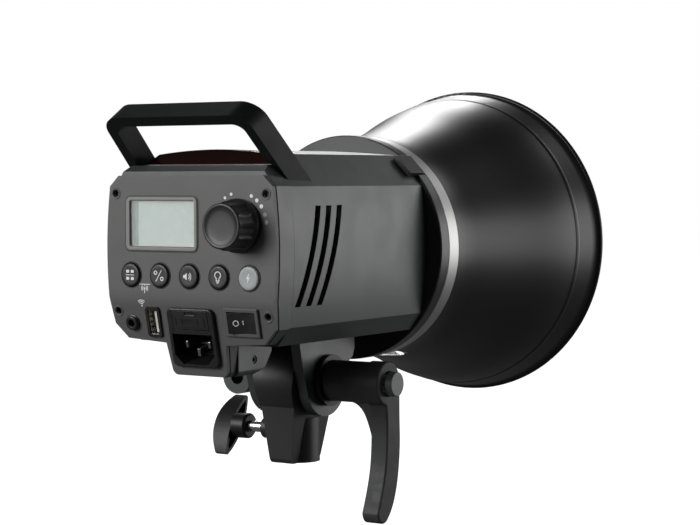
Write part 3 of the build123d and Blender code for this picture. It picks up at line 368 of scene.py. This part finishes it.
def make_stage():
    bpy.context.scene.view_settings.view_transform = "Standard"
    make_floor()
    make_world()
    softbox("side", (-1.25, -1.15, 0.20), (2.0, 0.8), 14)
    softbox("panel", (0.9, 1.7, 0.75), (1.2, 1.0), 34)
    softbox("back", (0.75, -1.2, 1.05), (0.5, 0.35), 10)
    softbox("front", (-0.45, -1.9, 1.15), (0.8, 0.6), 2.5)


# ---------------------------------------------------------------------------------------------
# Mesh helpers
# ---------------------------------------------------------------------------------------------
def mesh_object(name, bm, smooth_angle=35.0):
    """Links a bmesh as an object, smooth except at edges sharper than smooth_angle."""
    mesh = bpy.data.meshes.new(name)
    bm.to_mesh(mesh)
    bm.free()
    made = bpy.data.objects.new(name, mesh)
    bpy.context.scene.collection.objects.link(made)
    for polygon in mesh.polygons:
        polygon.use_smooth = True
    mesh.set_sharp_from_angle(angle=math.radians(smooth_angle))
    return made


def piece(name, bm, body, slot, material=None, smooth_angle=35.0):
    """A finished piece of the object: closed mesh, material and body; the slot picks the material when none
    is given.
    """
    bmesh.ops.recalc_face_normals(bm, faces=bm.faces[:])
    made = mesh_object(name, bm, smooth_angle)
    made.data.materials.append(material or MATERIALS[slot])
    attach(made, body)
    return made


def keep_flats_flat(made):
    """Weighted normals: broad faces shade flat and the rounded edges take the whole turn."""
    weighted = made.modifiers.new("flats", "WEIGHTED_NORMAL")
    weighted.weight = 100
    weighted.keep_sharp = True
    return made


def softened(name, width=0.4, segments=2, angle=28.0, material=None):
    """A copy of a CAD node with its sharp edges rounded by width, in place of the node."""
    bm = bmesh.new()
    bm.from_mesh(nodes[name].data)
    bmesh.ops.remove_doubles(bm, verts=bm.verts[:], dist=0.002 * MM)
    bmesh.ops.dissolve_limit(bm, angle_limit=math.radians(0.6), verts=bm.verts[:], edges=bm.edges[:])
    sharp = [e for e in bm.edges if e.is_manifold and e.calc_face_angle() > math.radians(angle)]
    bmesh.ops.bevel(
        bm, geom=sharp, offset=width * MM, offset_type="OFFSET", segments=segments, profile=0.5,
        affect="EDGES", clamp_overlap=True,
    )
    bmesh.ops.remove_doubles(bm, verts=bm.verts[:], dist=0.001 * MM)
    made = piece(f"{name}_shell", bm, body_of[name], slot_of[name], material)
    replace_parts(made, name)
    return keep_flats_flat(made)


def lathe(bm, profile, frame, steps=96, radius_at=None):
    """Turns a closed profile of (radius, height) about the frame's z axis; heights run along it."""
    rings = []
    for step in range(steps):
        angle = 2 * math.pi * step / steps
        ring = []
        for index, (radius, height) in enumerate(profile):
            reach = radius_at(index, angle, radius) if radius_at else radius
            place = Vector((reach * math.cos(angle), reach * math.sin(angle), height)) * MM
            ring.append(bm.verts.new(frame @ place))
        rings.append(ring)
    for step in range(steps):
        here, there = rings[step], rings[(step + 1) % steps]
        for index in range(len(profile) - 1):
            bm.faces.new((here[index], here[index + 1], there[index + 1], there[index]))
    if profile[0][0] < 0.001:
        bmesh.ops.remove_doubles(bm, verts=bm.verts[:], dist=0.0005 * MM)
    return bm


def rounded_loop(width, height, radius, steps=6, centre=(0.0, 0.0)):
    """Points of a rounded rectangle, anticlockwise."""
    points = []
    corners = ((1, 1, 0), (-1, 1, 90), (-1, -1, 180), (1, -1, 270))
    for side_x, side_y, start in corners:
        for step in range(steps + 1):
            angle = math.radians(start + 90 * step / steps)
            points.append((
                centre[0] + side_x * (width / 2 - radius) + radius * math.cos(angle),
                centre[1] + side_y * (height / 2 - radius) + radius * math.sin(angle),
            ))
    return points


def circle_loop(radius, centre=(0.0, 0.0), steps=48, start=0.0, turn=360.0):
    """Points round a circle or along an arc, in degrees."""
    whole = abs(turn) >= 360
    count = steps if whole else steps + 1
    return [
        (
            centre[0] + radius * math.cos(math.radians(start + turn * step / steps)),
            centre[1] + radius * math.sin(math.radians(start + turn * step / steps)),
        )
        for step in range(count)
    ]


def plate(bm, loop, frame, low, high, inset=0.0):
    """Solid between two depths over a convex or simple outline, with its top edge drawn in by inset."""
    count = len(loop)
    middle = Vector((sum(x for x, _ in loop) / count, sum(y for _, y in loop) / count))
    levels = [(low, 0.0), (high, 0.0)] if inset == 0 else [(low, 0.0), (high - inset, 0.0), (high, inset)]
    rows = []
    for height, shrink in levels:
        row = []
        for x, y in loop:
            away = Vector((x, y)) - middle
            pulled = middle + away * max(0.0, 1 - shrink / max(away.length, 0.001))
            row.append(bm.verts.new(frame @ (Vector((pulled.x, pulled.y, height)) * MM)))
        rows.append(row)
    for lower_row, upper_row in zip(rows, rows[1:]):
        for index in range(count):
            following = (index + 1) % count
            bm.faces.new((lower_row[index], lower_row[following], upper_row[following], upper_row[index]))
    bm.faces.new(rows[-1])
    bm.faces.new(list(reversed(rows[0])))
    return bm


def ribbon(bm, points, width, frame, low, high, closed=False):
    """Flat strip of even width along a path, mitred at its corners."""
    count = len(points)
    edges = []
    for index, point in enumerate(points):
        here = Vector(point)
        before = Vector(points[index - 1]) if index or closed else None
        after = Vector(points[(index + 1) % count]) if index < count - 1 or closed else None
        ways = [(here - before).normalized()] if before is not None else []
        ways += [(after - here).normalized()] if after is not None else []
        way = sum(ways, Vector((0, 0))).normalized()
        normal = Vector((-way.y, way.x))
        mitre = max(0.5, normal.dot(Vector((-ways[0].y, ways[0].x))))
        reach = normal * (width / 2 / mitre)
        corners = []
        for side, height in ((1, high), (-1, high), (-1, low), (1, low)):
            flat = here + reach * side
            corners.append(bm.verts.new(frame @ (Vector((flat.x, flat.y, height)) * MM)))
        edges.append(corners)
    last = count if closed else count - 1
    for index in range(last):
        here, there = edges[index], edges[(index + 1) % count]
        for side in range(4):
            other = (side + 1) % 4
            bm.faces.new((here[side], here[other], there[other], there[side]))
    if not closed:
        bm.faces.new(list(reversed(edges[0])))
        bm.faces.new(edges[-1])
    return bm


def frame_of(origin, x_dir, y_dir):
    """Matrix of a working plane, from millimetres; its z axis is its normal."""
    x_axis, y_axis = Vector(x_dir), Vector(y_dir)
    z_axis = x_axis.cross(y_axis)
    matrix = Matrix((x_axis, y_axis, z_axis)).transposed().to_4x4()
    return Matrix.Translation(Vector(origin) * MM) @ matrix


def shifted(frame, x, y, depth=0.0):
    return frame @ Matrix.Translation(Vector((x, y, depth)) * MM)


tilt_sin = math.sin(PANEL_TILT)
tilt_cos = math.cos(PANEL_TILT)
UPPER = frame_of((0, PANEL_Y, 0), (-1, 0, 0), (0, 0, 1))
LOWER = frame_of((0, PANEL_Y, CREASE_Z), (-1, 0, 0), (0, tilt_sin, tilt_cos))


# ---------------------------------------------------------------------------------------------
# Casings, clamp and stand
# ---------------------------------------------------------------------------------------------
def make_casings():
    softened("main_housing", 0.5)
    softened("rear_bezel", 0.35)
    softened("keel", 0.5)
    softened("carry_handle", 0.9, segments=3)
    softened("sensor_window", 0.5)
    softened("front_flange", 0.35)
    softened("mount_ring", 0.3)
    softened("release_latch", 0.3)
    softened("control_panel", 0.3)
    softened("stand_bracket", 0.8, segments=3)
    softened("clamp_lever", 0.6, segments=3)
    softened("lever_button", 0.3)
    softened("display_frame", 0.25)
    softened("switch_frame", 0.2, material=MATERIALS["panel"])
    softened("mains_inlet", 0.3)
    softened("rocker", 0.4)
    softened("fuse_drawer", 0.2)
    softened("inlet_pins", 0.25, material=DULL_PINS)
    softened("keel_screws", 0.15)
    softened("panel_screws", 0.15)
    softened("screw_insert", 0.2)
    softened("wing_knob", 0.7, segments=3)


# ---------------------------------------------------------------------------------------------
# Panel: marks, buttons, dial, display and sockets
# ---------------------------------------------------------------------------------------------
INK_DEPTHS = (-0.2, 0.06)     # printed marks start under the surface and stand just clear of it
BUTTON_TOP = 1.3
BUTTON_PITCH = 18.45
BUTTON_Z = 104.0
BUTTONS = ("group_button", "slave_button", "buzzer_button", "modelling_button", "test_button")
DIAL_AT = (31.0, 129.8)


def draw_group(bm, frame, low, high):
    """Four squares, two and two, over a bar: a group of lamps."""
    for x in (-1.5, 1.5):
        plate(bm, rounded_loop(1.9, 1.5, 0.3, 2, (x, 1.8)), frame, low, high)
        plate(bm, rounded_loop(1.9, 1.5, 0.3, 2, (x, -1.8)), frame, low, high)
    ribbon(bm, [(-2.7, 0), (2.7, 0)], 0.35, frame, low, high)


def draw_slave(bm, frame, low, high):
    """Two dots, each side of a slanted stroke."""
    ribbon(bm, [(-1.8, -2.9), (1.8, 2.9)], 0.4, frame, low, high)
    ribbon(bm, circle_loop(0.85, (-2.0, 1.5), 20), 0.5, frame, low, high, closed=True)
    ribbon(bm, circle_loop(0.85, (2.0, -1.5), 20), 0.5, frame, low, high, closed=True)


def draw_speaker(bm, frame, low, high):
    cone = [(-2.9, 0.75), (-2.9, -0.75), (-2.0, -0.75), (-0.7, -1.9), (-0.7, 1.9), (-2.0, 0.75)]
    plate(bm, cone, frame, low, high)
    for radius, width in ((1.5, 0.45), (2.5, 0.45)):
        ribbon(bm, circle_loop(radius, (-0.6, 0), 12, -48, 96), width, frame, low, high)


def draw_bulb(bm, frame, low, high):
    glass = circle_loop(1.75, (0, 1.1), 24, -62, 304) + [(-0.8, -1.7), (0.8, -1.7)]
    ribbon(bm, glass, 0.5, frame, low, high, closed=True)
    ribbon(bm, [(-0.75, -2.6), (0.75, -2.6)], 0.5, frame, low, high)


def draw_bolt(bm, frame, low, high):
    flash = [(0.5, 2.6), (-1.3, -0.35), (-0.25, -0.35), (-0.7, -2.6), (1.3, 0.55), (0.2, 0.55), (0.9, 2.6)]
    plate(bm, flash, frame, low, high)


# painted shade: a black ring round each button, filling the gap to the panel hole and lapping onto the panel,
# to stand for the shade in that gap
GAP_SHADE_RING_PROFILE = (
    (6.15, -2.6), (6.15, 0.05), (6.3, 0.22), (6.62, 0.22), (6.8, 0.02), (6.8, -0.6), (6.45, -0.6),
    (6.45, -2.6), (6.15, -2.6),
)


def make_buttons():
    drawings = (draw_group, draw_slave, draw_speaker, draw_bulb, draw_bolt)
    for number, (name, draw) in enumerate(zip(BUTTONS, drawings)):
        frame = shifted(UPPER, BUTTON_PITCH * (number - 2), BUTTON_Z)
        slot = slot_of[name]
        profile = [
            (0.0, BUTTON_TOP - 0.05), (3.6, BUTTON_TOP), (4.9, BUTTON_TOP + 0.08), (5.4, BUTTON_TOP),
            (5.75, BUTTON_TOP - 0.25), (5.93, BUTTON_TOP - 0.65), (5.97, BUTTON_TOP - 1.2), (5.97, -3.8),
            (7.15, -3.85), (7.15, -4.85), (1.8, -4.9), (1.8, -6.4), (0.0, -6.45),
        ]
        cap = piece(f"{name}_cap", lathe(bmesh.new(), profile, frame), name, slot)
        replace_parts(cap, name)
        bm = bmesh.new()
        draw(bm, frame, BUTTON_TOP - 0.2, BUTTON_TOP + 0.06)
        piece(f"{name}_mark", bm, name, slot, INK)
        # painted shade: the black ring stands for the shade in the gap round the button
        piece(f"{name}_gap_shade_ring", lathe(bmesh.new(), GAP_SHADE_RING_PROFILE, frame), "head", "button_black")


DIAL_FLUTES = 12
DIAL_PROFILE = (
    # radius, height, depth of the flutes
    (0.0, 14.9, 0.0), (4.0, 14.92, 0.0), (7.0, 15.0, 0.0), (8.8, 15.2, 0.0), (9.6, 15.6, 0.0),
    (10.2, 15.85, 0.0),
    (10.8, 15.75, 0.0), (11.35, 15.3, 0.12), (11.75, 14.5, 0.5), (11.95, 13.4, 0.85), (12.1, 11.0, 0.95),
    (12.3, 8.0, 0.95), (12.5, 5.6, 0.8), (12.65, 4.6, 0.35), (12.8, 4.1, 0.0), (13.15, 3.7, 0.0),
    (13.35, 3.2, 0.0),
    (13.4, 1.6, 0.0), (13.2, 1.05, 0.0), (9.5, 1.0, 0.0), (9.5, 5.8, 0.0), (5.0, 5.8, 0.0), (5.0, 1.0, 0.0),
    (3.05, 1.0, 0.0), (3.05, 11.2, 0.0), (0.0, 11.2, 0.0),
)


DOT_RING = 16.2
DIAL_DOTS = (
    # bearing clockwise from the top in degrees, radius, ink
    (-33, 0.75, INK), (-18, 0.8, INK), (26, 0.95, INK), (40, 1.0, INK), (54, 1.05, INK),
    (70, 1.05, DIM_INK), (84, 1.05, DIM_INK),
)


def make_dial():
    def fluted(index, angle, radius):
        across = (angle * DIAL_FLUTES / (2 * math.pi)) % 1.0
        hollow = 1 - (2 * across - 1) ** 4
        return radius - DIAL_PROFILE[index][2] * hollow

    frame = shifted(UPPER, *DIAL_AT)
    profile = [(radius, height) for radius, height, _ in DIAL_PROFILE]
    bm = lathe(bmesh.new(), profile, frame, 288, fluted)
    knob = piece("dial_grip", bm, "dial", "knob_black", DIAL_RUBBER, 50)
    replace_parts(knob, "dial_knob")
    for number, (bearing, radius, ink) in enumerate(DIAL_DOTS):
        turn = math.radians(90 - bearing)
        place = (DIAL_AT[0] + DOT_RING * math.cos(turn), DIAL_AT[1] + DOT_RING * math.sin(turn))
        bm = plate(bmesh.new(), circle_loop(radius, place, 24), UPPER, *INK_DEPTHS)
        piece(f"dial_dot_{number + 1}", bm, "head", "panel", ink)


DISPLAY_AT = (-17.45, 130.1)


def make_display():
    """The display's black outline, its cell with a darker left strip, both glowing with painted light for the
    front light that falls on them, and the lip inside the frame.
    """
    outline = rounded_loop(46.3, 28.2, 3.2, 6, DISPLAY_AT)
    bm = ribbon(bmesh.new(), outline, 0.55, UPPER, -0.6, 0.1, closed=True)
    piece("display_outline", bm, "head", "button_black")
    bm = plate(bmesh.new(), rounded_loop(43.9, 25.9, 0.4, 3, DISPLAY_AT), UPPER, -7.0, -2.4)
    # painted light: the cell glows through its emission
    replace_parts(piece("display_cell", bm, "head", "display_face"), "display_module")
    strip = plate(bmesh.new(), rounded_loop(3.4, 22.3, 0.1, 2, (-35.3, 130.15)), UPPER, -2.5, -2.3)
    piece("display_strip", strip, "head", "display_face", LCD_STRIP)
    inner = rounded_loop(40.9, 23.4, 0.9, 4, (-17.1, 130.15))
    bm = ribbon(bmesh.new(), inner, 0.5, UPPER, -1.9, -0.3, closed=True)
    piece("display_lip", bm, "head", "display_trim", LCD_LIP)


def make_panel_marks():
    bm = bmesh.new()
    mast = (-28.5, 97.4)
    ribbon(bm, [(-32.0, 99.4), (-25.0, 99.4)], 0.4, UPPER, *INK_DEPTHS)
    ribbon(bm, [(mast[0], 99.1), (mast[0], 98.5)], 0.4, UPPER, *INK_DEPTHS)
    plate(bm, circle_loop(0.45, mast, 12), UPPER, *INK_DEPTHS)
    ribbon(bm, [(mast[0], 97.0), (mast[0], 94.9)], 0.45, UPPER, *INK_DEPTHS)
    for side in (0, 180):
        for radius in (1.15, 1.95):
            ribbon(bm, circle_loop(radius, mast, 10, side - 42, 84), 0.4, UPPER, *INK_DEPTHS)
    piece("radio_mark", bm, "head", "panel", INK)
    bm = bmesh.new()
    foot = (-31.0, -4.2)
    plate(bm, circle_loop(0.45, foot, 12), LOWER, *INK_DEPTHS)
    for radius in (1.2, 2.1, 3.0):
        ribbon(bm, circle_loop(radius, foot, 12, 45, 90), 0.45, LOWER, *INK_DEPTHS)
    piece("usb_radio_mark", bm, "head", "panel", INK)


SPLIT_Y = 81.0
SEAM_DEPTH = 0.45


def make_seam():
    """The dark line of the joint between the body shell and the rear bezel, all the way round."""
    edge = [v.co for v in nodes["main_housing"].data.vertices if v.co.y > (SPLIT_Y - 0.3) * MM]
    outline = convex_outline([(-place.x / MM, place.z / MM) for place in edge])
    middle = Vector((0, OPTICAL_Z))
    reach = max(Vector(point).x for point in outline)
    inner = [middle + (Vector(point) - middle) * (1 - SEAM_DEPTH / reach) for point in outline]
    plane = frame_of((0, SPLIT_Y, 0), (-1, 0, 0), (0, 0, 1))
    bm = ribbon(bmesh.new(), inner, 1.0, plane, -0.25, 0.2, closed=True)
    piece("body_seam", bm, "head", "button_black", MATERIALS["button_black"])


def convex_outline(points):
    """Convex hull of flat points, anticlockwise."""
    ordered = sorted(set((round(x, 2), round(y, 2)) for x, y in points))

    def chain(run):
        kept = []
        for point in run:
            while len(kept) > 1 and turn_of(kept[-2], kept[-1], point) <= 0:
                kept.pop()
            kept.append(point)
        return kept[:-1]

    return chain(ordered) + chain(list(reversed(ordered)))


def turn_of(a, b, c):
    return (b[0] - a[0]) * (c[1] - a[1]) - (b[1] - a[1]) * (c[0] - a[0])


def make_screw_cups():
    places = [(UPPER, -46.8, 145.3), (UPPER, 46.8, 145.3), (LOWER, -46.8, -7.5), (LOWER, 46.8, -7.5)]
    profile = [
        (1.75, -1.0), (1.75, -0.3), (1.95, 0.12), (2.3, 0.32), (2.75, 0.3), (3.0, 0.1), (3.05, -0.3),
        (2.75, -0.3), (2.7, -1.0), (1.75, -1.0),
    ]
    for number, (plane, x, y) in enumerate(places):
        bm = lathe(bmesh.new(), profile, shifted(plane, x, y), 40)
        piece(f"screw_cup_{number + 1}", bm, "head", "button_black", MATERIALS["panel"])


ROCKER_REST = math.radians(7.5)
ROCKER_FACE = ((-7.7, 2.6), (1.2, 0.4))     # the lighter half of the rocker, from its left end to its ridge


def make_rocker_marks():
    """A ring and a dash on the rocker's raised half, lying on its face in the off position."""
    (start_x, start_height), (end_x, end_height) = ROCKER_FACE
    fall = math.atan2(start_height - end_height, end_x - start_x)
    pivot = shifted(LOWER, 31.0, -10.75, -3.0) @ Matrix.Rotation(ROCKER_REST, 4, "Y")
    for name, x in (("off_mark", -3.5), ("on_mark", 0.1)):
        height = start_height - (x - start_x) * math.tan(fall)
        face = shifted(pivot, x, 0, height + 3.0) @ Matrix.Rotation(fall, 4, "Y")
        bm = bmesh.new()
        if name == "off_mark":
            ribbon(bm, circle_loop(1.35, (0, 0), 24), 0.4, face, -0.2, 0.05, closed=True)
        else:
            ribbon(bm, [(0, -1.1), (0, 1.1)], 0.4, face, -0.2, 0.05)
        piece(f"rocker_{name}", bm, "rocker", "socket_plastic", INK)


def make_sockets():
    """USB port, sync jack and the details of the fuse drawer."""
    usb = (-24.3, -12.5)
    bm = ribbon(bmesh.new(), rounded_loop(7.4, 14.2, 1.0, 5, usb), 1.5, LOWER, -2.0, 1.1, closed=True)
    bezel = keep_flats_flat(piece("usb_bezel", bm, "head", "steel", MATERIALS["socket_plastic"]))
    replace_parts(bezel, "usb_socket")
    bm = ribbon(bmesh.new(), rounded_loop(5.4, 12.6, 0.4, 3, usb), 0.3, LOWER, -9.0, 0.5, closed=True)
    plate(bm, rounded_loop(5.3, 12.5, 0.4, 3, usb), LOWER, -9.2, -8.8)
    piece("usb_shell", bm, "head", "steel")
    bm = plate(bmesh.new(), rounded_loop(1.9, 11.2, 0.2, 2, (usb[0] + 1.2, usb[1])), LOWER, -9.0, -0.6)
    piece("usb_tongue", bm, "head", "nylon")
    bm = bmesh.new()
    for row in (-3.5, -1.2, 1.2, 3.5):
        plate(bm, rounded_loop(0.12, 1.0, 0.05, 1, (usb[0] + 0.2, usb[1] + row)), LOWER, -7.5, -1.0)
    piece("usb_contacts", bm, "head", "brass")
    sync = shifted(LOWER, -38.0, -13.3)
    profile = [
        (1.7, -8.5), (1.7, 1.6), (1.95, 2.15), (2.4, 2.3), (3.1, 2.3), (3.5, 2.1), (3.7, 1.7), (3.75, 0.9),
        (4.1, 0.7),
        (4.1, 0.05), (3.0, 0.05), (3.0, -8.9), (1.7, -8.5),
    ]
    jack = piece("sync_jack", lathe(bmesh.new(), profile, sync, 64), "head", "socket_plastic")
    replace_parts(jack, "sync_socket")
    bm = bmesh.new()
    ribbon(bm, rounded_loop(17.5, 4.2, 0.5, 3, (0, -11.3)), 0.35, LOWER, 2.1, 2.62, closed=True)
    ribbon(bm, rounded_loop(9.5, 3.2, 0.3, 3, (0, -11.3)), 0.3, LOWER, 2.1, 2.6, closed=True)
    ribbon(bm, [(-10.3, -7.6), (-3.4, -7.6)], 0.3, LOWER, 2.1, 2.6)
    ribbon(bm, [(3.4, -7.6), (10.3, -7.6)], 0.3, LOWER, 2.1, 2.6)
    piece("drawer_ribs", bm, "fuse_tray", "socket_plastic")


# ---------------------------------------------------------------------------------------------
# Reflector
# ---------------------------------------------------------------------------------------------
RIM_INNER_Y = -189.3      # the silver inside stops here, at the rolled rim
BASE_FRONT_Y = -100.0     # the bowl's flat base lies behind this
CUT_OUT_Z = 56.4          # the umbrella cut-out in the bowl's base
CUT_OUT_HALF_X = 18.2
CUT_OUT_HALF_Z = 5.8
CUT_OUT_FRONT_Y = -95.0
BASE_RADIUS = 64.0


def faces_inward(centre, normal):
    """True on the bowl's inside wall and on the lit side of its base."""
    out = Vector((centre.x, 0, centre.z - OPTICAL_Z * MM)).normalized()
    return normal.dot(out) < -0.3 or (normal.y < -0.8 and centre.y > BASE_FRONT_Y * MM)


def on_cut_out_edge(centre, normal):
    """True on the punched, bare edges of the umbrella cut-out."""
    in_slot = abs(centre.x) < CUT_OUT_HALF_X * MM and abs(centre.z - CUT_OUT_Z * MM) < CUT_OUT_HALF_Z * MM
    in_base = math.hypot(centre.x, centre.z - OPTICAL_Z * MM) < BASE_RADIUS * MM
    return in_slot and in_base and centre.y > CUT_OUT_FRONT_Y * MM and abs(normal.y) < 0.5


def make_reflector():
    """The spun bowl again, with a silver inside."""
    bm = bmesh.new()
    bm.from_mesh(nodes["reflector"].data)
    bmesh.ops.remove_doubles(bm, verts=bm.verts[:], dist=0.002 * MM)
    bowl = piece("reflector_bowl", bm, "reflector", "reflector_black", smooth_angle=25)
    for extra in ("reflector_inner", "bare_aluminium"):
        bowl.data.materials.append(MATERIALS[extra])
    for polygon in bowl.data.polygons:
        if faces_inward(polygon.center, polygon.normal) and polygon.center.y > RIM_INNER_Y * MM:
            polygon.material_index = 1
        if on_cut_out_edge(polygon.center, polygon.normal):
            polygon.material_index = 2
    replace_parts(bowl, "reflector")


# Radius and distance towards the light of the shoulder's raised line; its foot is sunk in the sheet.
SHOULDER = (
    (86.0, 165.0), (86.35, 165.4), (86.95, 166.6), (87.1, 167.3), (87.2, 168.4), (86.9, 169.4), (86.3, 169.4),
    (86.0, 165.0),
)


def make_shoulder():
    """The line round the bowl where the domed wall meets the straight skirt behind the rim."""
    lightward = frame_of((0, 0, OPTICAL_Z), (1, 0, 0), (0, 0, 1))     # its z axis points towards -Y
    piece("reflector_shoulder", lathe(bmesh.new(), SHOULDER, lightward, 180), "reflector", "reflector_black")


make_stage()
make_camera()
make_casings()
make_buttons()
make_dial()
make_display()
make_panel_marks()
make_seam()
make_screw_cups()
make_rocker_marks()
make_sockets()
make_reflector()
make_shoulder()
